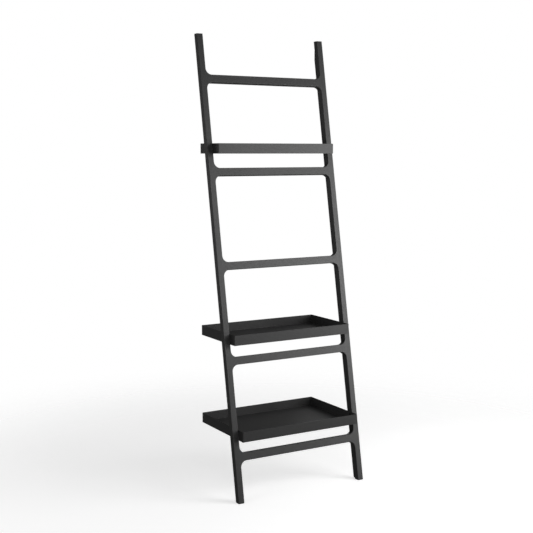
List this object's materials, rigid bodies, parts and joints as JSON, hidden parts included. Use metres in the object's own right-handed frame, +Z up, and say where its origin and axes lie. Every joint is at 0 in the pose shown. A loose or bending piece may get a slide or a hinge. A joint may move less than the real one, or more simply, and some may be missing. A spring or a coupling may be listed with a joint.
{
  "type": "ladder shelf",
  "caption": "Leaning ladder shelf: a filleted ladder frame tilted back to the wall, with rimmed shallow trays between its rails that get deeper towards the floor.",
  "frame": {"origin": "on the floor, halfway between the rails and halfway between the front of the feet and the wall", "axes": "+X along the rungs to the right as seen from the front, +Y from the front towards the wall, +Z up"},
  "size_m": [0.6, 0.366, 1.85],
  "materials": {
    "frame_lacquer": "satin-matt black lacquer over solid wood",
    "tray_coating": "satin-matt fine powder coat, black",
    "black_steel": "blackened steel screws",
    "zinc_steel": "zinc-plated threaded sleeves, hidden",
    "rubber": "matt black rubber",
    "beech": "fluted beech dowels, hidden"
  },
  "bodies": {
    "root": {"left_rail": "frame_lacquer", "left_batten": "frame_lacquer", "left_batten_screws": "black_steel", "left_foot_pad": "rubber", "left_wall_bumper": "rubber", "right_rail": "frame_lacquer", "right_batten": "frame_lacquer", "right_batten_screws": "black_steel", "right_foot_pad": "rubber", "right_wall_bumper": "rubber", "rung_1": "frame_lacquer", "rung_1_dowels": "beech", "rung_2": "frame_lacquer", "rung_2_dowels": "beech", "rung_3": "frame_lacquer", "rung_3_dowels": "beech", "rung_4": "frame_lacquer", "rung_4_dowels": "beech", "rung_5": "frame_lacquer", "rung_5_dowels": "beech", "top_tray_rim": "tray_coating", "top_tray_floor": "tray_coating", "top_tray_screws": "black_steel", "top_tray_inserts": "zinc_steel", "middle_tray_rim": "tray_coating", "middle_tray_floor": "tray_coating", "middle_tray_screws": "black_steel", "middle_tray_inserts": "zinc_steel", "bottom_tray_rim": "tray_coating", "bottom_tray_floor": "tray_coating", "bottom_tray_screws": "black_steel", "bottom_tray_inserts": "zinc_steel"}
  },
  "joints": []
}
